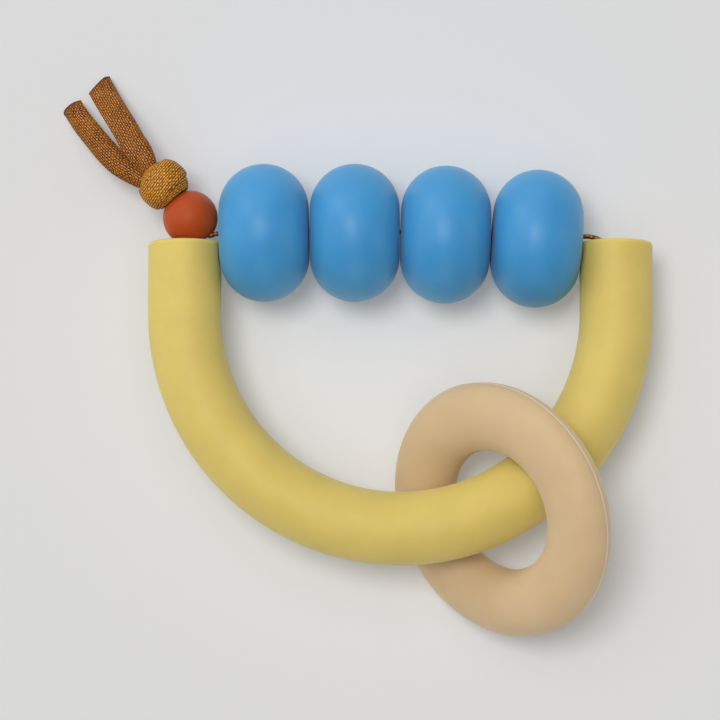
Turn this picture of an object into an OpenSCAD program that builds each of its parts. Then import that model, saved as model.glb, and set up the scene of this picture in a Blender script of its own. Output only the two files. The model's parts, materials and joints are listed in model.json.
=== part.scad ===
// Baby teether: a silicone arch tube closed by a row of lentil beads, threaded on one woven ribbon
// whose two ends pass through a small stopper bead and are tied, with a loose teether ring on the arch.
//
// Frame: millimetres, +Z up, the teether lies on the plane z = 0. The origin is on that plane, below
// the centre of the arch's half circle. +X runs along the bead row, +Y from the arch towards the row.

/* [Lentil beads] */
// Diameter of a lentil bead
bead_d = 30.8; // [24:0.1:38]
// Width of a lentil bead along its bore
bead_w = 20; // [15:0.1:25]
// Bore of a lentil bead
bead_bore_d = 4.4; // [4:0.1:7]
// How far the bead row's axis lies beyond the ends of the arch tube
row_offset = 2.1; // [1:0.1:4]
// How far each bead sits back towards the arch, left to right
bead_drops = [0, 0, 0.4, 1.3];
// Angle that each bead is turned by on the table, left to right
bead_turns = [1, 0, -1.5, -4];

/* [Arch tube] */
// Outer diameter of the arch tube
tube_d = 16.3; // [12:0.1:20]
// Bore of the arch tube, which the ribbon runs through
tube_bore_d = 8.6; // [6:0.1:10]
// Straight length of each leg beyond the half circle
leg_len = 15.8; // [12:0.1:25]
// Rounding of the edges at the tube's two ends
rim_round = 1; // [0.5:0.1:1.4]

/* [Teether ring] */
// Outer diameter of the loose ring
ring_d = 58.3; // [50:0.1:70]
// Width of the ring's oval section, across the ring
ring_w = 15.3; // [11:0.1:16]
// Thickness of the ring's oval section, along the ring's axis
ring_t = 11; // [9:0.1:14]
// Where the ring hangs on the arch, as an angle from the middle of the bend
ring_at = 26.8; // [-20:0.1:45]
// How far the ring's centre lies outside the tube's axis
ring_hang = 1.2; // [0:0.1:2.5]

/* [Stopper bead] */
// Diameter of the small round bead that both ribbon ends pass through
stopper_d = 12.2; // [10:0.1:15]
// Bore of the small round bead
stopper_bore_d = 4.2; // [3.8:0.1:5]
// Widening of the small round bead's bore at its two mouths
bore_flare = 0.5; // [0.3:0.1:1]
// Angle between the stopper bead's bore and the line to the rim of the leg that it nests in
stopper_turn = 6.7; // [0:0.1:8]

/* [Ribbon] */
// Width of the flat ribbon
ribbon_w = 6.4; // [4:0.1:7]
// Thickness of the flat ribbon
ribbon_t = 0.4; // [0.3:0.05:0.5]
// Width of the ribbon where it runs folded through the bores
fold_w = 3; // [2:0.1:3.2]
// Diameter of the overhand knot
knot_d = 10.8; // [8:0.1:12]
// Length of the knot along the ribbon
knot_len = 9; // [6:0.1:10]

/* [Fits] */
// Least gap between neighbouring beads
bead_gap = 0.1; // [0.05:0.05:0.5]
// How far each end bead presses into the side of the leg next to it
leg_bite = 0.5; // [0:0.1:1.5]
// Gap between an end bead and the hollow that it presses into the leg
press_gap = 0.2; // [0.1:0.05:0.4]
// Gap that the ring's lean leaves to a straight tube; the arch's bend takes up about half of it
ring_gap = 0.6; // [0.4:0.05:1]
// Gap between the stopper bead and the first lentil bead
stopper_gap = 0.35; // [0.2:0.05:1.5]
// Gap between the stopper bead and the rounded mouth of the left leg that it nests in
nest_gap = 0.55; // [0.4:0.05:1]
// Gap between the knot and the stopper bead
knot_gap = 0.2; // [0.1:0.05:0.5]

/* [Hidden] */
$fn = 96;

// Lentil bead: a disc whose rim is a full half round, so its flat faces are what the rim leaves.
bead_face_r = bead_d / 2 - bead_w / 2;
bead_count = len(bead_turns);
axis_z = bead_d / 2;

// Neighbouring beads lean on each other at the edges of their flat faces.
function lean_gap(i) = bead_gap + bead_face_r * tan(abs(bead_turns[i + 1] - bead_turns[i]));
function bead_offset(i) = i == 0 ? bead_w / 2 : bead_offset(i - 1) + bead_w + lean_gap(i - 1);
row_len = bead_offset(bead_count - 1) + bead_w / 2;
function bead_centre(i) = [
    bead_offset(i) - row_len / 2,
    leg_end_y + row_offset - bead_drops[i],
    axis_z
];

// The arch's legs stand either side of the bead row, which spreads them a little.
tube_r = tube_d / 2;
bore_r = tube_bore_d / 2;
arch_r = row_len / 2 - leg_bite + tube_r;

// The ring leans on the tube: its lowest and highest sections just clear the tube that passes between.
ring_r = ring_d / 2 - ring_w / 2;
ring_a = ring_w / 2;
ring_b = ring_t / 2;
lean_reach = tube_r + ring_gap;
lean_k = ring_r ^ 2 - ring_a ^ 2 + ring_b ^ 2;
lean_root = sqrt((ring_r * lean_reach) ^ 2 - lean_k * (lean_reach ^ 2 - ring_b ^ 2));
ring_lean = asin((ring_r * lean_reach + lean_root) / lean_k);

// The arch rests on the ring: its plane falls from the ring's centre to the axis of the bead row.
// The ring's own slope depends on that fall, so the fall is settled by repeating the sum.
function ring_slope(fall) = acos(
    sin(ring_lean) * sin(ring_at) * sin(fall) + cos(ring_lean) * cos(fall)
);
function ring_height(slope) = ring_r * sin(slope) + norm([ring_a * sin(slope), ring_b * cos(slope)]);
function next_fall(fall) = asin(
    (ring_height(ring_slope(fall)) - axis_z) / (leg_len + (arch_r + ring_hang) * cos(ring_at))
);
function settled_fall(fall, rounds) = rounds == 0 ? fall : settled_fall(next_fall(fall), rounds - 1);
arch_fall = settled_fall(0, 5);
leg_end_y = leg_len * cos(arch_fall);
arch_z = axis_z + leg_len * sin(arch_fall);

// The stopper bead lies beside the first lentil bead and nests in the mouth of the left leg.
stopper_r = stopper_d / 2;
stopper_x = -row_len / 2 - stopper_gap - stopper_r;
nest_reach = stopper_r + rim_round + nest_gap;
nest_across = bore_r + rim_round - (stopper_x + arch_r);
stopper_rise = sqrt(nest_reach ^ 2 - nest_across ^ 2) - rim_round;
stopper_centre = [stopper_x, leg_end_y + stopper_rise, axis_z];
stopper_az = 180 - acos(nest_across / nest_reach) + stopper_turn;
stopper_dir = [cos(stopper_az), sin(stopper_az), 0];
stopper_side = [sin(stopper_az), -cos(stopper_az), 0];
knot_az = stopper_az + 17;
knot_dir = [cos(knot_az), sin(knot_az), 0];
knot_dish = 1.2;
knot_centre = stopper_centre + (stopper_r + knot_len / 2 - knot_dish) * stopper_dir;

// Ribbon: folded in half along its length inside the bores.
fold_t = 2 * ribbon_t;
ply_offset = fold_t / 2 + 0.1;
knot_bite = 1.5;

// Tails: points from the knot's waist, as [x, y, height as a share of the bead row's axis height].
tail_left_route = [
    [2.4, -2.2, 0.92], [-1.4, -0.8, 0.93], [-3.9, 0.8, 0.91], [-7, 2.7, 0.84],
    [-10, 5.4, 0.74], [-13, 8.7, 0.58], [-16.1, 12.3, 0.41], [-18.7, 15.9, 0.25]
];
tail_right_route = [
    [1.6, -1.2, 1.06], [-0.1, 2.5, 1.06], [-1.7, 4.9, 1.04], [-3.4, 7.4, 0.98],
    [-5.1, 10.4, 0.87], [-7.3, 13.9, 0.69], [-9.6, 17.6, 0.47], [-11.8, 21.2, 0.27]
];
// Angle that each tail is rolled by about its own length, at each point.
tail_left_rolls = [0, 0, 0, -3, -8, -14, -21, -28];
tail_right_rolls = [0, 0, 0, 2, 4, 6, 6, 4];
tail_root = 4.2;

// ---- Vector helpers

function unit(v) = v / norm(v);
function flat_normal(t) = unit([-t.y, t.x, 0]);

// Direction of a route at one of its points.
function tangent(route, i) = unit(
    route[min(i + 1, len(route) - 1)] - route[max(i - 1, 0)]
);

// Cuts every corner of a route, keeping its two end points.
function corner_cut(route) = concat(
    [route[0]],
    [for (i = [0 : len(route) - 2], share = [0.25, 0.75])
        route[i] + share * (route[i + 1] - route[i])],
    [route[len(route) - 1]]
);
function softened(route, rounds) = rounds == 0 ? route : softened(corner_cut(route), rounds - 1);

// ---- A flat strap swept along a route, rolled about it by an angle at each point

function strap_section(w, t) = let (c = t / 3) [
    [w / 2, -t / 2 + c], [w / 2, t / 2 - c], [w / 2 - c, t / 2], [-w / 2 + c, t / 2],
    [-w / 2, t / 2 - c], [-w / 2, -t / 2 + c], [-w / 2 + c, -t / 2], [w / 2 - c, -t / 2]
];

function strap_ring(p, t, roll, section) = let (
    side = flat_normal(t),
    up = cross(t, side),
    wide = cos(roll) * side + sin(roll) * up,
    thick = cos(roll) * up - sin(roll) * side
) [for (q = section) p + q.x * wide + q.y * thick];

module strap(route, rolls, w, t) {
    section = strap_section(w, t);
    n = len(section);
    last = len(route) - 1;
    points = [for (i = [0 : last]) each strap_ring(route[i], tangent(route, i), rolls[i], section)];
    sides = [for (i = [0 : last - 1], k = [0 : n - 1])
        let (a = i * n + k, b = i * n + (k + 1) % n) each [[a, b, b + n], [a, b + n, a + n]]];
    start_cap = [for (k = [1 : n - 2]) [0, k + 1, k]];
    end_cap = [for (k = [1 : n - 2]) [last * n, last * n + k, last * n + k + 1]];
    polyhedron(points = points, faces = concat(sides, start_cap, end_cap), convexity = 10);
}

// ---- Arch tube

module on_arch() {
    translate([0, 0, arch_z]) rotate([-arch_fall, 0, 0]) children();
}

// Wall of a leg in section: x from the leg's axis, y along the leg, with both edges of its end rounded.
module leg_wall() {
    wall = tube_r - bore_r;
    translate([bore_r, 0]) square([wall, leg_len - rim_round]);
    translate([bore_r + rim_round, 0]) square([wall - 2 * rim_round, leg_len]);
    for (x = [bore_r + rim_round, tube_r - rim_round])
        translate([x, leg_len - rim_round]) circle(rim_round);
}

module leg() {
    rotate([-90, 0, 0]) rotate_extrude() leg_wall();
}

module arch_tube() {
    color("khaki") difference() {
        on_arch() {
            rotate([0, 0, 180]) rotate_extrude(angle = 180) translate([arch_r, 0]) difference() {
                circle(tube_r);
                circle(bore_r);
            }
            for (side = [-1, 1]) translate([side * arch_r, 0, 0]) leg();
        }
        for (i = [0, bead_count - 1]) lying(bead_centre(i), bead_turns[i]) pressed_hollow();
    }
}

// What an end bead takes out of the soft leg that it presses on.
module pressed_hollow() {
    rotate_extrude() disc_section(bead_d + 2 * press_gap, bead_w + 2 * press_gap, 0);
}

// ---- Beads

// Section of a disc with a full half-round rim, outside a bore: x from its axis, y along it.
module disc_section(d, w, bore_d) {
    face_r = d / 2 - w / 2;
    difference() {
        union() {
            translate([0, -w / 2]) square([face_r, w]);
            translate([face_r, 0]) circle(w / 2);
        }
        translate([-d, -w]) square([d + bore_d / 2, 2 * w]);
    }
}

// Turns a shape made about Z so that its axis lies flat, in the direction az.
module lying(centre, az) {
    translate(centre) rotate([0, 0, az]) rotate([0, 90, 0]) children();
}

module lentil_bead(i) {
    color("cornflowerblue") lying(bead_centre(i), bead_turns[i])
        rotate_extrude() disc_section(bead_d, bead_w, bead_bore_d);
}

module stopper_bead() {
    flare_h = 2 * bore_flare;
    color("chocolate") lying(stopper_centre, stopper_az) difference() {
        sphere(stopper_r);
        cylinder(d = stopper_bore_d, h = 2 * stopper_d, center = true);
        for (end = [0, 1]) mirror([0, 0, end]) translate([0, 0, stopper_r - flare_h])
            cylinder(d1 = stopper_bore_d, d2 = stopper_bore_d + 4 * bore_flare, h = 2 * flare_h);
    }
}

// ---- Ring

module teether_ring() {
    color("burlywood") on_arch() rotate([0, 0, ring_at]) translate([0, -arch_r - ring_hang, 0])
        rotate([0, -ring_lean, 0]) rotate_extrude() translate([ring_r, 0])
            scale([ring_a, ring_b]) circle(1);
}

// ---- Ribbon

// Height of the ribbon's centre line: level along the bead row, on the arch's plane along the tube.
function ribbon_point(p) = [p.x, p.y, axis_z + max(0, leg_end_y - p.y) * tan(arch_fall)];

// The two plies lie face to face in the stopper bead, one either side of its axis.
function stopper_ply(along, ply) = let (
    p = stopper_centre + along * stopper_dir + ply * ply_offset * stopper_side
) [p.x, p.y];

function bead_face(i, end) = let (c = bead_centre(i)) [
    c.x + end * bead_w / 2 * cos(bead_turns[i]),
    c.y + end * bead_w / 2 * sin(bead_turns[i])
];

function arc_point(angle) = [arch_r * sin(angle), -arch_r * cos(angle) * cos(arch_fall)];

rim_hop = fold_t / 2 + 0.5;
ply_start = stopper_r + knot_bite;
ply_end = -stopper_r + 0.8;

stopper_to_row = softened([
    stopper_ply(ply_start, 1),
    stopper_ply(0, 1),
    stopper_ply(ply_end + 1, 1),
    stopper_ply(ply_end, 1),
    [-arch_r + bore_r + rim_round, leg_end_y + rim_hop],
    bead_face(0, -1),
    bead_face(0, 1)
], 2);

row_to_leg = softened([
    bead_face(3, -1),
    bead_face(3, 1) + [0, rim_hop],
    [arch_r - bore_r - rim_round / 2, leg_end_y + rim_hop],
    [arch_r - bore_r / 3, leg_end_y - rim_round],
    [arch_r, leg_end_y - 2 * bore_r],
    [arch_r, 0]
], 2);

leg_to_stopper = softened([
    [-arch_r, 0],
    [-arch_r, leg_end_y - 2 * bore_r],
    [-arch_r + bore_r / 2, leg_end_y - bore_r],
    [-arch_r + bore_r - fold_t, leg_end_y - rim_round],
    stopper_ply(ply_end, -1),
    stopper_ply(ply_end + 1, -1),
    stopper_ply(0, -1),
    stopper_ply(ply_start, -1)
], 2);

module ribbon_loop() {
    row = [for (i = [1 : bead_count - 2], end = [-0.8, 0.8]) bead_face(i, end)];
    arc = [for (angle = [84 : -7 : -84]) arc_point(angle)];
    route = [for (p = concat(stopper_to_row, row, row_to_leg, arc, leg_to_stopper)) ribbon_point(p)];
    color("sienna") strap(route, [for (p = route) 90], fold_w, fold_t);
}

module ribbon_knot() {
    color("sienna") difference() {
        lying(knot_centre, knot_az) rotate_extrude() disc_section(knot_d, knot_len, 0);
        translate(stopper_centre) sphere(stopper_r + knot_gap);
    }
}

module ribbon_tail(route, rolls) {
    waist = knot_centre + tail_root * knot_dir;
    placed = [for (p = route) [waist.x + p.x, waist.y + p.y, p.z * axis_z]];
    color("sienna") strap(placed, rolls, ribbon_w, ribbon_t);
}

arch_tube();
lentil_bead(0);  // blue_bead_1
lentil_bead(1);  // blue_bead_2
lentil_bead(2);  // blue_bead_3
lentil_bead(3);  // blue_bead_4
stopper_bead();
teether_ring();
ribbon_loop();
ribbon_knot();
ribbon_tail(tail_left_route, tail_left_rolls);  // ribbon_tail_left
ribbon_tail(tail_right_route, tail_right_rolls);  // ribbon_tail_right
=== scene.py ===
"""Looks of the baby teether: camera, studio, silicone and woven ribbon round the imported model."""

import json
import math

import bpy
import numpy as np
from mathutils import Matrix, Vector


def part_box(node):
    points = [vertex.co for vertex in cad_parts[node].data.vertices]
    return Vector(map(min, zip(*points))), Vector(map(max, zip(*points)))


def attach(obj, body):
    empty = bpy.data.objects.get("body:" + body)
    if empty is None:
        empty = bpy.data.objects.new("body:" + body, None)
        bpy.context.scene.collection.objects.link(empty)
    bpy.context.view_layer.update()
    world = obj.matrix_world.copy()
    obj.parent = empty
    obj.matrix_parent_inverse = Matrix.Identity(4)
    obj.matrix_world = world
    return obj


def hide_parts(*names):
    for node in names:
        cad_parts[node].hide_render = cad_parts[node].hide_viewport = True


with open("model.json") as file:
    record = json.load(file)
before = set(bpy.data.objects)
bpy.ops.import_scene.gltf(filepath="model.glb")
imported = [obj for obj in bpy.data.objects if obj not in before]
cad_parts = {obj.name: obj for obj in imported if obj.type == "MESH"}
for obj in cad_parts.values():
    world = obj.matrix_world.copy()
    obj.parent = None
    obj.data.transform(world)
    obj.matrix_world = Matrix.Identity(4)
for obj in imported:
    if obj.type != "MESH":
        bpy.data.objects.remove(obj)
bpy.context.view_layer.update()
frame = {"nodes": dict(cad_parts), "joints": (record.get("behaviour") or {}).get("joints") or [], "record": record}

MM = 0.001

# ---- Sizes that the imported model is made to, in metres

TUBE_BORE_R = 4.3 * MM
RIM_ROUND = 1 * MM
LEG_LEN = 15.8 * MM
RIBBON_W = 6.4 * MM
RIBBON_T = 0.4 * MM
KNOT_LEN = 9 * MM
KNOT_DISH = 1.2 * MM
KNOT_TURN = math.radians(17)
KNOT_GAP = 0.2 * MM
TAIL_ROOT = 4.2 * MM

# Tails: [x, y] from the knot's waist in millimetres, then height as a share of the bead row's
# axis height. The rolls are the angles that a tail is turned by about its own length.
TAIL_LEFT_ROUTE = [
    [2.4, -2.2, 0.92], [-1.4, -0.8, 0.93], [-3.9, 0.8, 0.91], [-7, 2.7, 0.84],
    [-10, 5.4, 0.74], [-13, 8.7, 0.58], [-16.1, 12.3, 0.41], [-18.7, 15.9, 0.25],
]
TAIL_RIGHT_ROUTE = [
    [1.6, -1.2, 1.06], [-0.1, 2.5, 1.06], [-1.7, 4.9, 1.04], [-3.4, 7.4, 0.98],
    [-5.1, 10.4, 0.87], [-7.3, 13.9, 0.69], [-9.6, 17.6, 0.47], [-11.8, 21.2, 0.27],
]
TAIL_LEFT_ROLLS = [0, 0, 0, -3, -8, -14, -21, -28]
TAIL_RIGHT_ROLLS = [0, 0, 0, 2, 4, 6, 6, 4]

# ---- Sizes of the weave

WEAVE_PITCH = 0.48 * MM
WEAVE_HEIGHT = 0.07 * MM
SELVEDGE = 0.45 * MM
CORD_SWELL = 1.2
EDGE_SHARE = 0.35
SEALED_LEN = 0.5 * MM
SEALED_SWELL = 0.9
SCORCH_LEN = 3 * MM
SCORCH_SHARE = 0.3
FINE_STEP = WEAVE_PITCH / 4
COARSE_STEP = WEAVE_PITCH / 2

# ---- Places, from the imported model

joints = {joint["name"]: joint for joint in frame["joints"]}


def joint_place(name):
    return np.array(joints[name]["pos_m"], float)


def unit(v):
    return v / np.linalg.norm(v)


def joint_axis(name):
    return unit(np.array(joints[name]["axis"], float))


def turned(direction, angle):
    """A flat direction turned about Z."""
    c, s = math.cos(angle), math.sin(angle)
    return np.array([c * direction[0] - s * direction[1], s * direction[0] + c * direction[1], 0.0])


UP = np.array([0.0, 0.0, 1.0])
stopper_centre = joint_place("stopper_spin")
stopper_dir = joint_axis("stopper_spin")
stopper_side = turned(stopper_dir, -math.pi / 2)
stopper_low, stopper_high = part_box("stopper_bead")
stopper_r = (stopper_high[2] - stopper_low[2]) / 2
knot_dir = turned(stopper_dir, KNOT_TURN)
knot_centre = stopper_centre + (stopper_r + KNOT_LEN / 2 - KNOT_DISH) * stopper_dir
bead_row_z = stopper_centre[2]

arch_normal = joint_axis("ring_travel")
arch_fall = math.atan2(arch_normal[1], arch_normal[2])
leg_end_y = LEG_LEN * math.cos(arch_fall)
bead_low, bead_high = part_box("blue_bead_2")
bead_w = bead_high[0] - bead_low[0]

# ---- Camera and studio

CAMERA_X, CAMERA_Y = -9 * MM, -10.52 * MM
CAMERA_HEIGHT = 798 * MM
CAMERA_LENS = 175.5
CAMERA_SENSOR_W = 36


def make_camera():
    data = bpy.data.cameras.new("camera")
    data.lens = CAMERA_LENS
    data.sensor_width = CAMERA_SENSOR_W
    data.clip_start = 0.01
    data.clip_end = 20
    camera = bpy.data.objects.new("camera", data)
    camera.location = (CAMERA_X, CAMERA_Y, CAMERA_HEIGHT)
    bpy.context.scene.collection.objects.link(camera)
    bpy.context.scene.camera = camera


def make_area_light(name, place, target, size, power):
    data = bpy.data.lights.new(name, "AREA")
    data.shape = "DISK"
    data.size = size
    data.energy = power
    lamp = bpy.data.objects.new(name, data)
    lamp.location = place
    away = np.array(place) - np.array(target)
    tilt = math.atan2(math.hypot(away[0], away[1]), away[2])
    turn = math.atan2(away[0], -away[1])
    lamp.rotation_euler = (tilt, 0, turn)
    bpy.context.scene.collection.objects.link(lamp)
    return lamp


def keep_off(lamps, receiver):
    """Lets lamps light everything but one object."""
    receivers = bpy.data.collections.new("unlit_by_side_lights")
    receivers.objects.link(receiver)
    receivers.collection_objects[0].light_linking.link_state = "EXCLUDE"
    for lamp in lamps:
        lamp.light_linking.receiver_collection = receivers


# Lights over the table: place from the point looked at, size and power.
KEY_SOFTBOX = ("key_softbox", (-0.51, 0.51, 2.91), 1.06, 33)
BROAD_SOFTBOX = ("broad_softbox", (-0.3, 0.3, 2.4), 3.2, 18)
LOW_FILL = ("low_fill", (-1.5, 1.6, 1.05), 1.2, 14)
# Pale walls round the table, one to each side.
WALL_COUNT = 4
WALL_AWAY = 2.3
WALL_HEIGHT = 1.0
WALL_SIZE = 2.0
WALL_POWER = 11.0
WORLD_STRENGTH = 0.12
FLOOR_REACH = 4.0


def make_floor():
    mesh = bpy.data.meshes.new("floor")
    outline = [(-1, -1), (1, -1), (1, 1), (-1, 1)]
    mesh.from_pydata([(FLOOR_REACH * x, FLOOR_REACH * y, 0) for x, y in outline], [], [(0, 1, 2, 3)])
    mesh.materials.append(floor_paper())
    floor = bpy.data.objects.new("floor", mesh)
    bpy.context.scene.collection.objects.link(floor)
    return floor


def make_studio():
    floor = make_floor()
    aim = np.array([CAMERA_X, CAMERA_Y, 0])
    for name, away, size, power in (KEY_SOFTBOX, BROAD_SOFTBOX):
        make_area_light(name, aim + away, aim, size, power)
    name, away, size, power = LOW_FILL
    side_lights = [make_area_light(name, aim + away, aim, size, power)]
    for number in range(WALL_COUNT):
        angle = 2 * math.pi * number / WALL_COUNT
        place = aim + [WALL_AWAY * math.cos(angle), WALL_AWAY * math.sin(angle), WALL_HEIGHT]
        side_lights.append(make_area_light(f"wall_{number + 1}", place, aim, WALL_SIZE, WALL_POWER))
    keep_off(side_lights, floor)
    world = bpy.data.worlds.new("studio")
    world.use_nodes = True
    background = world.node_tree.nodes["Background"]
    background.inputs["Color"].default_value = (1, 1, 1, 1)
    background.inputs["Strength"].default_value = WORLD_STRENGTH
    bpy.context.scene.world = world
    bpy.context.scene.view_settings.view_transform = "Standard"


# ---- Materials

# Sockets of a mix node that hold its two colours and its blended colour.
MIX_COLOURS = slice(6, 8)
MIX_RESULT = 2


class Shader:
    """A material's nodes, with short calls for adding and joining them."""

    def __init__(self, name):
        self.material = bpy.data.materials.new(name)
        self.material.use_nodes = True
        self.nodes = self.material.node_tree.nodes
        self.links = self.material.node_tree.links
        self.surface = self.nodes["Principled BSDF"]

    def add(self, kind, **values):
        node = self.nodes.new(kind)
        for key, value in values.items():
            setattr(node, key, value)
        return node

    def join(self, output, target):
        self.links.new(output, target)

    def maths(self, operation, first, second=None):
        node = self.add("ShaderNodeMath", operation=operation)
        for socket, value in zip(node.inputs, (first, second), strict=False):
            if isinstance(value, (int, float)):
                socket.default_value = value
            elif value is not None:
                self.join(value, socket)
        return node.outputs[0]

    def noise(self, coordinates, scale, detail=3.0):
        node = self.add("ShaderNodeTexNoise")
        node.inputs["Scale"].default_value = scale
        node.inputs["Detail"].default_value = detail
        self.join(coordinates, node.inputs["Vector"])
        return node.outputs["Fac"]

    def ramp(self, factor, stops):
        node = self.add("ShaderNodeValToRGB")
        elements = node.color_ramp.elements
        while len(elements) < len(stops):
            elements.new(0.5)
        for element, (place, colour) in zip(elements, stops, strict=True):
            element.position = place
            element.color = (*colour, 1)
        self.join(factor, node.inputs["Fac"])
        return node.outputs["Color"]

    def span(self, factor, low, high):
        node = self.add("ShaderNodeMapRange")
        node.inputs["To Min"].default_value = low
        node.inputs["To Max"].default_value = high
        self.join(factor, node.inputs["Value"])
        return node.outputs["Result"]

    def bump(self, height, distance, strength, below=None):
        node = self.add("ShaderNodeBump")
        node.inputs["Distance"].default_value = distance
        node.inputs["Strength"].default_value = strength
        self.join(height, node.inputs["Height"])
        if below is not None:
            self.join(below, node.inputs["Normal"])
        return node.outputs["Normal"]

    def split(self, vector):
        parts = self.add("ShaderNodeSeparateXYZ")
        self.join(vector, parts.inputs[0])
        return parts.outputs

    def mix(self, factor, first, second):
        """Blends two colours; the second may be a plain one."""
        node = self.add("ShaderNodeMix", data_type="RGBA")
        first_socket, second_socket = node.inputs[MIX_COLOURS]
        self.join(factor, node.inputs["Factor"])
        self.join(first, first_socket)
        if isinstance(second, tuple):
            second_socket.default_value = (*second, 1)
        else:
            self.join(second, second_socket)
        return node.outputs[MIX_RESULT]

    def set(self, **values):
        for key, value in values.items():
            self.surface.inputs[key.replace("_", " ")].default_value = value


def linear(red, green, blue):
    """Linear colour of an 8-bit one."""
    shares = [channel / 255 for channel in (red, green, blue)]
    return tuple(s / 12.92 if s <= 0.04045 else ((s + 0.055) / 1.055) ** 2.4 for s in shares)


def scaled(colour, factor):
    return tuple(min(1.0, channel * factor) for channel in colour)


# The floor is a lit table: part of its brightness is its own, so that shadows on it stay soft.
FLOOR_ALBEDO = 0.83
FLOOR_GLOW = 0.13
FLOOR_FLECK = (900, 0.995)
FLOOR_ROUGHNESS = 0.9
FLOOR_GLOSS = 0.1


def floor_paper():
    shader = Shader("studio_floor")
    place = shader.add("ShaderNodeTexCoord").outputs["Object"]
    fleck_scale, fleck_tone = FLOOR_FLECK
    tone = (FLOOR_ALBEDO,) * 3
    fleck = shader.noise(place, fleck_scale)
    paper = shader.ramp(fleck, [(0.3, scaled(tone, fleck_tone)), (0.7, tone)])
    shader.join(paper, shader.surface.inputs["Base Color"])
    shader.set(Roughness=FLOOR_ROUGHNESS, Emission_Strength=FLOOR_GLOW)
    shader.surface.inputs["Specular IOR Level"].default_value = FLOOR_GLOSS
    shader.surface.inputs["Emission Color"].default_value = (1, 1, 1, 1)
    return shader.material


# Silicone: noise scales, then how far each one changes the tone, the roughness or the surface.
MOTTLE_SCALE, MOTTLE_SHARE = 120, 0.03
ROUGH_SCALE, ROUGH_SPREAD = 400, 0.05
GRAIN_SCALE, GRAIN_DEPTH, GRAIN_STRENGTH = 5000, 0.02 * MM, 0.25
WAVE_SCALE, WAVE_DEPTH, WAVE_STRENGTH = 260, 0.05 * MM, 0.2
SILICONE_IOR = 1.41
SHEEN_ROUGHNESS = 0.5


def silicone(name, colour, glow, glow_depth, sheen, gloss, rough):
    """Soft matte silicone: faint mottling, a moulded grain and light that spreads under the skin."""
    shader = Shader(name)
    inputs = shader.surface.inputs
    place = shader.add("ShaderNodeTexCoord").outputs["Object"]
    mottle = shader.noise(place, MOTTLE_SCALE, 2.0)
    darker, lighter = scaled(colour, 1 - MOTTLE_SHARE), scaled(colour, 1 + MOTTLE_SHARE)
    shader.join(shader.ramp(mottle, [(0.3, darker), (0.7, lighter)]), inputs["Base Color"])
    patches = shader.noise(place, ROUGH_SCALE)
    shader.join(shader.span(patches, rough - ROUGH_SPREAD, rough + ROUGH_SPREAD), inputs["Roughness"])
    grain = shader.bump(shader.noise(place, GRAIN_SCALE, 2.0), GRAIN_DEPTH, GRAIN_STRENGTH)
    waves = shader.bump(shader.noise(place, WAVE_SCALE, 1.0), WAVE_DEPTH, WAVE_STRENGTH, grain)
    shader.join(waves, inputs["Normal"])
    shader.set(Subsurface_Weight=glow, Subsurface_Scale=glow_depth, IOR=SILICONE_IOR)
    shader.set(Sheen_Weight=sheen, Sheen_Roughness=SHEEN_ROUGHNESS)
    inputs["Specular IOR Level"].default_value = gloss
    inputs["Subsurface Radius"].default_value = tuple(c / max(colour) for c in colour)
    return shader.material


# Weave: lengths and scales in threads; contrasts are shares of the step from gap to crown.
DRIFT_SCALE, DRIFT_REACH = 0.35, 1.1
YARN_SCALE, YARN_CONTRAST = 1.1, 0.62
PATCH_SCALE, PATCH_CONTRAST = 0.14, 0.24
CHECK_SOFTNESS, RIB_SOFTNESS = 0.6, 0.8
OVER_SHARE = 0.2
SELVEDGE_TINT = 0.55
THREAD_BUMP, THREAD_BUMP_STRENGTH = 0.06 * MM, 0.7
RIBBON_ROUGHNESS = (0.75, 0.42)
RIBBON_GLOSS = 0.25


def wavy_weave(shader, uv):
    """The weave's coordinates, with the threads wandering a little."""
    drift = shader.add("ShaderNodeTexNoise")
    drift.inputs["Scale"].default_value = DRIFT_SCALE
    shader.join(uv, drift.inputs["Vector"])
    wavy = shader.add("ShaderNodeVectorMath", operation="MULTIPLY_ADD")
    wavy.inputs[1].default_value = (DRIFT_REACH, DRIFT_REACH, 0)
    shader.join(drift.outputs["Color"], wavy.inputs[0])
    shader.join(uv, wavy.inputs[2])
    return shader.split(wavy.outputs["Vector"])


def selvedge_share(shader, uv):
    """Rises from nothing to SELVEDGE_TINT over the corded edge on either side."""
    share = shader.add("ShaderNodeMapRange", interpolation_type="SMOOTHSTEP")
    share.inputs["From Min"].default_value = (RIBBON_W / 2 - SELVEDGE) / WEAVE_PITCH
    share.inputs["From Max"].default_value = RIBBON_W / 2 / WEAVE_PITCH
    share.inputs["To Max"].default_value = SELVEDGE_TINT
    shader.join(shader.maths("ABSOLUTE", shader.split(uv)["X"]), share.inputs["Value"])
    return share.outputs["Result"]


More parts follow.
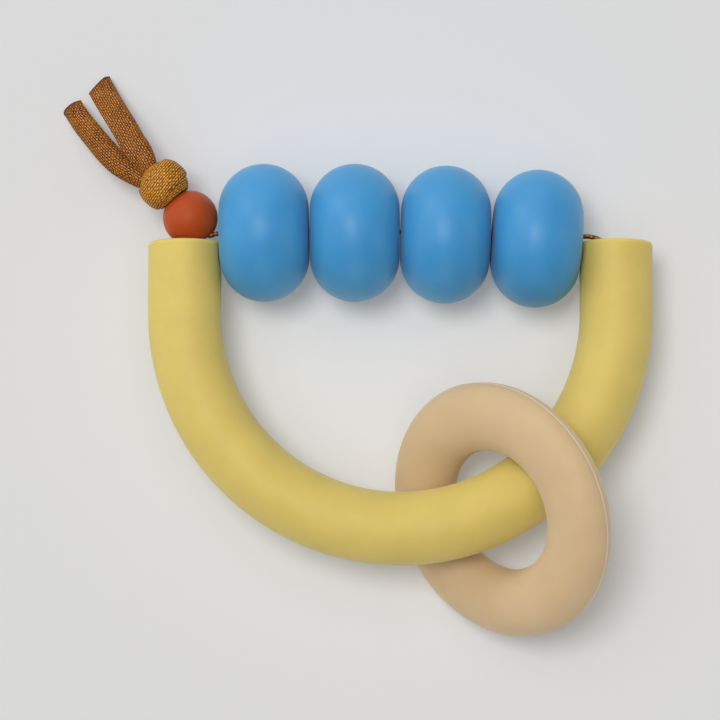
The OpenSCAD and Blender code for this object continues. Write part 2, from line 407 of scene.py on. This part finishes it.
def woven_ribbon(name, gap, thread, painted_crown_glint, rib):
    """Plain weave from the strip's own UVs, one unit to a thread, with scorched cut ends, painted shade in the
    gaps between threads and painted glints on their crowns.

    rib is how much the lengthwise threads stand out over the crossing ones.
    """
    shader = Shader(name)
    uv = shader.add("ShaderNodeUVMap", uv_map="weave").outputs["UV"]
    place = wavy_weave(shader, uv)
    across = shader.maths("SINE", shader.maths("MULTIPLY", place["X"], math.pi))
    along = shader.maths("SINE", shader.maths("MULTIPLY", place["Y"], math.pi))
    both = shader.maths("MULTIPLY", across, along)
    checks = shader.maths("POWER", shader.maths("ABSOLUTE", both), CHECK_SOFTNESS)
    ribs = shader.maths("POWER", shader.maths("ABSOLUTE", across), RIB_SOFTNESS)
    checks_part = shader.maths("MULTIPLY", checks, 1 - rib)
    ribs_part = shader.maths("MULTIPLY", ribs, rib)
    crown = shader.maths("ADD", checks_part, ribs_part)
    over = shader.maths("MULTIPLY", both, OVER_SHARE)
    yarn = shader.span(shader.noise(uv, YARN_SCALE, 3.0), -YARN_CONTRAST, YARN_CONTRAST)
    patchy = shader.span(shader.noise(uv, PATCH_SCALE, 3.0), -PATCH_CONTRAST, PATCH_CONTRAST)
    height = shader.maths("ADD", shader.maths("ADD", crown, over), shader.maths("ADD", yarn, patchy))
    # Painted light: the lowest stop is painted shade in the gaps between threads, and the highest is a painted
    # glint on the thread crowns.
    weave = shader.ramp(height, [(0.15, gap), (0.6, thread), (1.0, painted_crown_glint)])
    edged = shader.mix(selvedge_share(shader, uv), weave, SELVEDGE_BROWN)
    sealed = shader.add("ShaderNodeAttribute", attribute_name="sealed").outputs["Fac"]
    scorch = shader.ramp(sealed, [(0.0, thread), (0.5, WARM_SEAL), (1.0, DARK_SEAL)])
    shader.join(shader.mix(sealed, edged, scorch), shader.surface.inputs["Base Color"])
    raised = shader.bump(crown, THREAD_BUMP, THREAD_BUMP_STRENGTH)
    shader.join(raised, shader.surface.inputs["Normal"])
    shader.join(shader.span(crown, *RIBBON_ROUGHNESS), shader.surface.inputs["Roughness"])
    shader.surface.inputs["Specular IOR Level"].default_value = RIBBON_GLOSS
    return shader.material


SELVEDGE_BROWN = linear(122, 60, 26)
WARM_SEAL = linear(124, 58, 28)
DARK_SEAL = linear(84, 34, 22)
# Ribbon colours: painted shade in the gaps, the threads' own colour, then a painted glint on the thread crowns.
TAIL_THREADS = (linear(48, 17, 3), linear(118, 61, 9), linear(206, 136, 40))
# The knot's copy of the same ribbon is painted lighter than the tails'. This is painted light, standing in for the
# knot catching more light.
KNOT_THREADS_PAINTED_LIGHTER = (linear(70, 32, 4), linear(150, 91, 16), linear(230, 164, 56))
YELLOW = linear(212, 190, 104)
BLUE = (0.045, 0.295, 0.58)
ORANGE = (0.44, 0.065, 0.008)
BEIGE = (0.62, 0.45, 0.26)
PARTING = (0.74, 0.58, 0.4)

# Each silicone: colour, share and depth of the light under its skin, sheen, gloss, roughness.
SILICONES = {
    "yellow_silicone": (YELLOW, 0.6, 3 * MM, 0.1, 0.4, 0.55),
    "blue_silicone": (BLUE, 0.7, 4 * MM, 0.1, 0.6, 0.45),
    "orange_silicone": (ORANGE, 0.5, 2.5 * MM, 0.08, 0.3, 0.5),
    "beige_silicone": (BEIGE, 0.6, 3 * MM, 0.15, 0.4, 0.55),
    "parting_silicone": (PARTING, 0.3, 1 * MM, 0.1, 0.4, 0.55),
}
materials = {name: silicone(name, *values) for name, values in SILICONES.items()}
materials["brown_ribbon"] = woven_ribbon("brown_ribbon", *TAIL_THREADS, rib=0.3)
materials["knot_ribbon"] = woven_ribbon("knot_ribbon", *KNOT_THREADS_PAINTED_LIGHTER, rib=0.65)

# ---- Strips of ribbon


def resampled(points, step):
    """Points at even steps along a route.

    What follows a point's x, y and z, such as its roll, goes with it.
    """
    points = np.array(points, float)
    strides = np.linalg.norm(np.diff(points[:, :3], axis=0), axis=1)
    lengths = np.concatenate([[0], np.cumsum(strides)])
    count = max(2, round(lengths[-1] / step))
    even = np.linspace(0, lengths[-1], count + 1)
    columns = [np.interp(even, lengths, column) for column in points.T]
    return np.stack(columns, axis=1)


def corner_cut(points):
    """Cuts every corner of a route, keeping its two end points."""
    legs = zip(points[:-1], points[1:], strict=True)
    inner = [a + share * (b - a) for a, b in legs for share in (0.25, 0.75)]
    return [points[0], *inner, points[-1]]


def softened(points, rounds):
    points = [np.array(p, float) for p in points]
    for _ in range(rounds):
        points = corner_cut(points)
    return points


def normals_of(grid):
    along = np.gradient(grid, axis=0)
    across = np.gradient(grid, axis=1)
    normal = np.cross(across, along)
    return normal / np.linalg.norm(normal, axis=2, keepdims=True)


def weave_height(across, along, width):
    """How far the threads stand above the gaps, fading to a plain corded selvedge."""
    over_and_under = np.sin(math.pi * across / WEAVE_PITCH) * np.sin(math.pi * along / WEAVE_PITCH)
    crown = np.abs(over_and_under) ** CHECK_SOFTNESS
    cord_r = SELVEDGE / 2
    from_cord = (width / 2 - np.abs(across) - cord_r) / cord_r
    woven = np.clip(from_cord, 0, 1)
    cord = np.sqrt(np.clip(1 - from_cord**2, 0, 1))
    return WEAVE_HEIGHT * (crown * woven + CORD_SWELL * cord * (1 - woven))


def strip_faces(rows, columns):
    """Four-sided faces round a closed strip whose rows run over its top and back under its bottom."""
    around = 2 * columns
    index = np.arange(rows * around).reshape(rows, around)
    following = np.roll(index, -1, axis=1)
    quads = np.stack([index[:-1], following[:-1], following[1:], index[1:]], axis=-1).reshape(-1, 4)
    caps = []
    first, last = index[0].tolist(), index[-1].tolist()
    for k in range(columns - 1):
        under = around - 1 - k
        caps.append([first[k], first[under], first[under - 1], first[k + 1]])
        caps.append([last[k], last[k + 1], last[under - 1], last[under]])
    return quads.tolist() + caps


def add_piece(name, points, faces, look):
    """A smooth mesh with one material, in the scene."""
    mesh = bpy.data.meshes.new(name)
    mesh.from_pydata(points, [], faces)
    mesh.polygons.foreach_set("use_smooth", [True] * len(mesh.polygons))
    mesh.materials.append(materials[look])
    piece = bpy.data.objects.new(name, mesh)
    bpy.context.scene.collection.objects.link(piece)
    return piece


def strip(name, grid, across, along, sealed=None, thickness=RIBBON_T, look="brown_ribbon"):
    """A closed strip of ribbon from a grid of points: rows follow its length, columns its width.

    across holds each column's place on the width, along each row's or each point's place on the
    length. sealed is how much heat has sealed each row.
    """
    rows, columns = grid.shape[:2]
    normal = normals_of(grid)
    width = across[-1] - across[0]
    edge = np.clip((width / 2 - np.abs(across)) / (thickness / 2), 0, 1)
    half = thickness / 2 * (EDGE_SHARE + (1 - EDGE_SHARE) * np.sqrt(edge))
    along = np.broadcast_to(along if along.ndim == 2 else along[:, None], (rows, columns))
    burnt = np.zeros(rows) if sealed is None else sealed
    lift = half * (1 + SEALED_SWELL * burnt[:, None]) + weave_height(across, along, width)
    top = grid + normal * lift[..., None]
    bottom = grid - normal * lift[..., None]
    points = np.concatenate([top, bottom[:, ::-1]], axis=1).reshape(-1, 3)
    faces = strip_faces(rows, columns)
    piece = add_piece(name, points.tolist(), faces, look)
    mesh = piece.data
    u = np.concatenate([across, across[::-1]]) / WEAVE_PITCH
    v = np.concatenate([along, along[:, ::-1]], axis=1) / WEAVE_PITCH
    place = np.stack([np.broadcast_to(u, v.shape), v], axis=-1).reshape(-1, 2)
    corner_vertex = np.empty(len(mesh.loops), np.int32)
    mesh.loops.foreach_get("vertex_index", corner_vertex)
    layer = mesh.uv_layers.new(name="weave")
    layer.data.foreach_set("uv", place[corner_vertex].astype(np.float32).ravel())
    burn = mesh.attributes.new("sealed", "FLOAT", "POINT")
    burn.data.foreach_set("value", np.repeat(burnt, 2 * columns).astype(np.float32))
    mesh.validate()
    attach(piece, "arch")
    return piece


def across_places(width, step):
    return np.linspace(-width / 2, width / 2, round(width / step) + 1)


def bent_section(across, slopes):
    """The width of a strip bent into a curve, as x and height: slopes[i] is its angle at across[i]."""
    middle = (slopes[1:] + slopes[:-1]) / 2
    steps = np.diff(across)
    x = np.concatenate([[0], np.cumsum(np.cos(middle) * steps)])
    y = np.concatenate([[0], np.cumsum(np.sin(middle) * steps)])
    centre = len(across) // 2
    return x - x[centre], y - y[centre]


ROUTE_SHARES = 12


def catmull_rom(a, b, c, d, t):
    """Point on the smooth curve through b and c, a share t of the way from b to c."""
    turn = 2 * a - 5 * b + 4 * c - d
    flick = 3 * b - a - 3 * c + d
    return 0.5 * (2 * b + (c - a) * t + turn * t**2 + flick * t**3)


def smooth_route(points, step):
    """A smooth curve through the points, at even steps."""
    points = np.array(points, float)
    padded = np.concatenate([[2 * points[0] - points[1]], points, [2 * points[-1] - points[-2]]])
    shares = np.linspace(0, 1, ROUTE_SHARES, endpoint=False)
    spans = zip(padded[:-3], padded[1:-2], padded[2:-1], padded[3:], strict=True)
    fine = [catmull_rom(*span, t) for span in spans for t in shares]
    return resampled([*fine, points[-1]], step)


def spine_frames(spine, rolls):
    """Side and up directions along a route, rolled about it."""
    ahead = np.gradient(spine, axis=0)
    ahead /= np.linalg.norm(ahead, axis=1, keepdims=True)
    side = np.stack([-ahead[:, 1], ahead[:, 0], np.zeros(len(ahead))], axis=1)
    side /= np.linalg.norm(side, axis=1, keepdims=True)
    up = np.cross(ahead, side)
    c, s = np.cos(rolls)[:, None], np.sin(rolls)[:, None]
    return c * side + s * up, c * up - s * side


def ribbon_tail(name, route, rolls, slope_at, cut_slant):
    """One free end of the ribbon, from inside the knot to its heat-sealed cut, which may be slanted."""
    waist = knot_centre + TAIL_ROOT * knot_dir
    places = [
        [waist[0] + x * MM, waist[1] + y * MM, share * bead_row_z, roll]
        for (x, y, share), roll in zip(route, rolls, strict=True)
    ]
    spine = smooth_route(places, FINE_STEP)
    rolled = np.radians(spine[:, 3])
    spine = spine[:, :3]
    side, up = spine_frames(spine, rolled)
    across = across_places(RIBBON_W, FINE_STEP)
    along = np.arange(len(spine)) * FINE_STEP
    grid = np.empty((len(spine), len(across), 3))
    to_end = along[-1] - along
    slanted = np.clip(1 - to_end / (2 * RIBBON_W), 0, 1)[:, None] * cut_slant * across
    ahead = np.cross(side, up)
    for i in range(len(spine)):
        x, y = bent_section(across, slope_at(across, along[i]))
        grid[i] = spine[i] + x[:, None] * side[i] + y[:, None] * up[i] + slanted[i][:, None] * ahead[i]
    sealed = np.clip(2 - 2 * to_end / SEALED_LEN, 0, 1)
    faded = SCORCH_SHARE * np.clip(1 - to_end / SCORCH_LEN, 0, 1)
    return strip(name, grid, across, along[:, None] + slanted, np.maximum(sealed, faded))


# Curl across each tail, in radians to a metre: at the knot and where the tail is free.
LEFT_CURL = (0.6 / MM, 0.34 / MM)
RIGHT_CURL = (0.55 / MM, 0.07 / MM)
GATHER_LEN = 9 * MM
# The right tail's fold: how far from its middle, over what width and by how much.
FOLD_AT, FOLD_SPREAD, FOLD_ANGLE = 1.45 * MM, 0.3 * MM, math.radians(38)
# How much further each cut reaches on the left, for each metre of width.
LEFT_CUT_SLANT, RIGHT_CUT_SLANT = 0.2, -0.4


def gathered(along, at_knot, free):
    """Goes from at_knot to free over the first stretch of a tail."""
    share = np.clip(along / GATHER_LEN, 0, 1)
    return at_knot + (free - at_knot) * share * share * (3 - 2 * share)


def left_tail_slope(across, along):
    """Rolled over its whole width, both edges down."""
    return -gathered(along, *LEFT_CURL) * across


def right_tail_slope(across, along):
    """Nearly flat, with a narrow fold down along its right edge."""
    fold = np.clip((-across - FOLD_AT) / FOLD_SPREAD, 0, 1)
    return -gathered(along, *RIGHT_CURL) * across + FOLD_ANGLE * fold


# ---- Knot


def clear_of_stopper(points, gap):
    """Pushes points out of the stopper bead, straight away from its centre."""
    away = points - stopper_centre
    distance = np.linalg.norm(away, axis=-1, keepdims=True)
    return stopper_centre + away * np.maximum(distance, stopper_r + gap) / distance


BARREL_LEN = 9.6 * MM
BARREL_R = 4.75 * MM
BARREL_SQUARENESS = 2.3
# Each turn of the knot: tilt in degrees, place along the barrel, width, start and number of turns
# about it, lift off the turns below, depth of its pleats and how far it wanders.
KNOT_TURNS = {
    "knot_core": (0, 0, 2 * RIBBON_W, -1.3, 1.02, -0.6 * MM, 0, 0),
    "knot_inner_turn": (6, 3.1 * MM, RIBBON_W, -2.2, 1.04, -0.2 * MM, 0.05 * MM, 0.3 * MM),
    "knot_bead_turn": (-6, -2.6 * MM, RIBBON_W, -1.9, 1.04, 0, 0.05 * MM, 0.3 * MM),
    "knot_broad_turn": (5, 0.7 * MM, RIBBON_W, -1.6, 1.04, 0.5 * MM, 0.04 * MM, 0.7 * MM),
}
PLEAT_PITCH = 1.9 * MM
PLEAT_SWAY, PLEAT_FADE = 0.9, 0.4
TUCK_WIDTH, TUCK_DEPTH = 0.2, 0.75


def barrel_place(arc):
    """Axial and radial place on the knot's rounded barrel, arc along its profile from the middle."""
    latitude = np.radians(np.linspace(-88, 88, 353))
    power = 2 / BARREL_SQUARENESS
    axial = BARREL_LEN / 2 * np.sign(latitude) * np.abs(np.sin(latitude)) ** power
    radial = BARREL_R * np.cos(latitude) ** power
    lengths = np.concatenate([[0], np.cumsum(np.hypot(np.diff(axial), np.diff(radial)))])
    lengths -= np.interp(0, latitude, lengths)
    return np.interp(arc, lengths, axial), np.interp(arc, lengths, radial)


def knot_band(name, tilt, middle, width, start, turns, layer, pleat, wander):
    """A turn of ribbon round the knot."""
    axis = turned(stopper_dir, math.radians(tilt))
    side = unit(np.cross(UP, axis))
    over = np.cross(axis, side)
    across = across_places(width, FINE_STEP)
    count = round(turns * 2 * math.pi * BARREL_R / FINE_STEP)
    angles = start + np.linspace(0, turns * 2 * math.pi, count + 1)
    along = np.arange(count + 1) * FINE_STEP
    a, s = np.meshgrid(angles, across, indexing="ij")
    axial, radial = barrel_place(s + middle + wander * np.sin(a + start))
    to_edge = np.clip((np.abs(s) / (width / 2) - 1) / TUCK_WIDTH + 1, 0, 1)
    tucked = 1 - TUCK_DEPTH * to_edge**2
    uneven = 1 - PLEAT_FADE + PLEAT_FADE * np.sin(3 * a)
    sway = PLEAT_SWAY * np.sin(2 * a)
    swell = pleat * np.sin(2 * math.pi * s / PLEAT_PITCH + sway) * uneven
    spiral = RIBBON_T * (a - start) / (turns * 2 * math.pi)
    reach = radial + layer * tucked + spiral + swell
    out = np.cos(a)[..., None] * side + np.sin(a)[..., None] * over
    points = knot_centre + axial[..., None] * axis + reach[..., None] * out
    clear = clear_of_stopper(points, KNOT_GAP + RIBBON_T)
    return strip(name, clear, across, along, look="knot_ribbon")


def make_knot():
    """An overhand knot: a broad turn over the middle, and the turns that it holds on either side."""
    pieces = [knot_band(name, *values) for name, values in KNOT_TURNS.items()]
    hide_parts("ribbon_knot")


# ---- Ribbon through the bores

TUBE_WALL = 3.85 * MM
# How far the folded ribbon stands off the end of a leg, and its two passes off each other.
HOP = 0.5 * MM
PASS_GAP = 0.1 * MM
# How far the passes run past the stopper's face into the knot, and how close to its far face they part.
KNOT_BITE = 1.5 * MM
PARTING_DEPTH = 0.8 * MM
# The fold along the ribbon's middle: its radius, its place off the route and the thickness there.
FOLD_R = 0.22 * MM
FOLD_OFF = 1.45 * MM
FOLDED_T = 0.34 * MM


def route_place(x, y):
    """Point of the ribbon's centre line: level along the bead row, in the arch's plane in the tube."""
    return [x, y, bead_row_z + max(0, leg_end_y - y) * math.tan(arch_fall)]


def threaded_route():
    """The ribbon's way from the knot through stopper, beads and arch and back to the knot."""
    fold_t = 2 * RIBBON_T
    arch_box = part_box("arch_tube")
    tube_r = TUBE_BORE_R + TUBE_WALL
    arch_r = (arch_box[1][0] - arch_box[0][0]) / 2 - tube_r
    hop = fold_t / 2 + HOP
    start = stopper_r + KNOT_BITE
    end = -stopper_r + PARTING_DEPTH

    def ply(along, side):
        off = side * (fold_t / 2 + PASS_GAP) * stopper_side
        return (stopper_centre + along * stopper_dir + off)[:2]

    def bead_face(number, end_sign):
        name = f"bead_{number}_spin"
        return (joint_place(name) + end_sign * bead_w / 2 * joint_axis(name))[:2]

    to_row = softened([
        ply(start, 1), ply(0, 1), ply(end + 1 * MM, 1), ply(end, 1),
        [-arch_r + TUBE_BORE_R + RIM_ROUND, leg_end_y + hop],
        bead_face(1, -1), bead_face(1, 1),
    ], 2)
    row = [bead_face(number, share) for number in (2, 3) for share in (-0.8, 0.8)]
    to_leg = softened([
        bead_face(4, -1), bead_face(4, 1) + [0, hop],
        [arch_r - TUBE_BORE_R - RIM_ROUND / 2, leg_end_y + hop],
        [arch_r - TUBE_BORE_R / 3, leg_end_y - RIM_ROUND],
        [arch_r, leg_end_y - 2 * TUBE_BORE_R], [arch_r, 0],
    ], 2)
    angles = np.radians(np.arange(84, -85, -7))
    arc = [[arch_r * math.sin(a), -arch_r * math.cos(a) * math.cos(arch_fall)] for a in angles]
    back = softened([
        [-arch_r, 0], [-arch_r, leg_end_y - 2 * TUBE_BORE_R],
        [-arch_r + TUBE_BORE_R / 2, leg_end_y - TUBE_BORE_R],
        [-arch_r + TUBE_BORE_R - fold_t, leg_end_y - RIM_ROUND],
        ply(end, -1), ply(end + 1 * MM, -1), ply(0, -1), ply(start, -1),
    ], 2)
    return [route_place(*p) for p in [*to_row, *row, *to_leg, *arc, *back]]


def make_threaded_ribbon():
    """The same ribbon folded in half along its length, standing on edge inside the bores."""
    spine = resampled(threaded_route(), COARSE_STEP)
    side, up = spine_frames(spine, np.full(len(spine), math.pi / 2))
    across = across_places(RIBBON_W, COARSE_STEP)
    along = np.arange(len(spine)) * COARSE_STEP
    turn = np.clip(across / (FOLD_R * math.pi / 2), -1, 1) * math.pi / 2
    x, y = bent_section(across, turn)
    rise = (x - FOLD_R)[None, :, None] * up[:, None]
    reach = (FOLD_OFF - y)[None, :, None] * side[:, None]
    grid = spine[:, None] + rise + reach
    ribbon = strip("ribbon_through_bores", grid, across, along, thickness=FOLDED_T)
    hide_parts("ribbon_loop")


# ---- The ring's parting line

LINE_W = 0.5 * MM
LINE_PROUD = 0.14 * MM
LINE_SUNK = 0.04 * MM
LINE_STEPS = 360
LINE_SIDES = 8


def ring_circle():
    """Centre, outer radius and two crossed directions of the ring's plane, and its axis."""
    low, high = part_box("teether_ring")
    centre = (np.array(low) + np.array(high)) / 2
    ring_mesh = frame["nodes"]["teether_ring"].data
    vertices = np.empty(len(ring_mesh.vertices) * 3)
    ring_mesh.vertices.foreach_get("co", vertices)
    spread = vertices.reshape(-1, 3) - centre
    _, directions = np.linalg.eigh(spread.T @ spread)
    axis = directions[:, 0] * np.sign(directions[2, 0])
    first = unit(np.cross(axis, UP))
    second = np.cross(axis, first)
    return centre, np.abs(spread @ first).max(), first, second, axis


def make_parting_line():
    """The fine raised line where the two halves of the ring's mould met."""
    centre, outer_r, first, second, axis = ring_circle()
    points = []
    for i in range(LINE_STEPS):
        angle = 2 * math.pi * i / LINE_STEPS
        out = math.cos(angle) * first + math.sin(angle) * second
        for k in range(LINE_SIDES):
            turn = 2 * math.pi * k / LINE_SIDES
            reach = outer_r - LINE_SUNK + LINE_PROUD * math.cos(turn)
            points.append(centre + reach * out + LINE_W / 2 * math.sin(turn) * axis)
    faces = []
    for i in range(LINE_STEPS):
        here = i * LINE_SIDES
        following = (i + 1) % LINE_STEPS * LINE_SIDES
        for k in range(LINE_SIDES):
            beside = (k + 1) % LINE_SIDES
            faces.append([here + k, here + beside, following + beside, following + k])
    line = add_piece("ring_parting_line", points, faces, "parting_silicone")
    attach(line, "ring")


def dress_cad_nodes():
    """Gives every CAD part the material of its slot in the record."""
    slots = {part["node"]: part["material_slot"] for part in frame["record"]["subparts"]}
    for name, node in frame["nodes"].items():
        material = materials[slots[name]]
        if not node.material_slots:
            node.data.materials.append(material)
        for place in node.material_slots:
            place.material = material


make_camera()
make_studio()
dress_cad_nodes()
tail_left = ribbon_tail("tail_left", TAIL_LEFT_ROUTE, TAIL_LEFT_ROLLS, left_tail_slope,
                        LEFT_CUT_SLANT)
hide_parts("ribbon_tail_left")
tail_right = ribbon_tail("tail_right", TAIL_RIGHT_ROUTE, TAIL_RIGHT_ROLLS, right_tail_slope,
                         RIGHT_CUT_SLANT)
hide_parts("ribbon_tail_right")
make_knot()
make_threaded_ribbon()
make_parting_line()
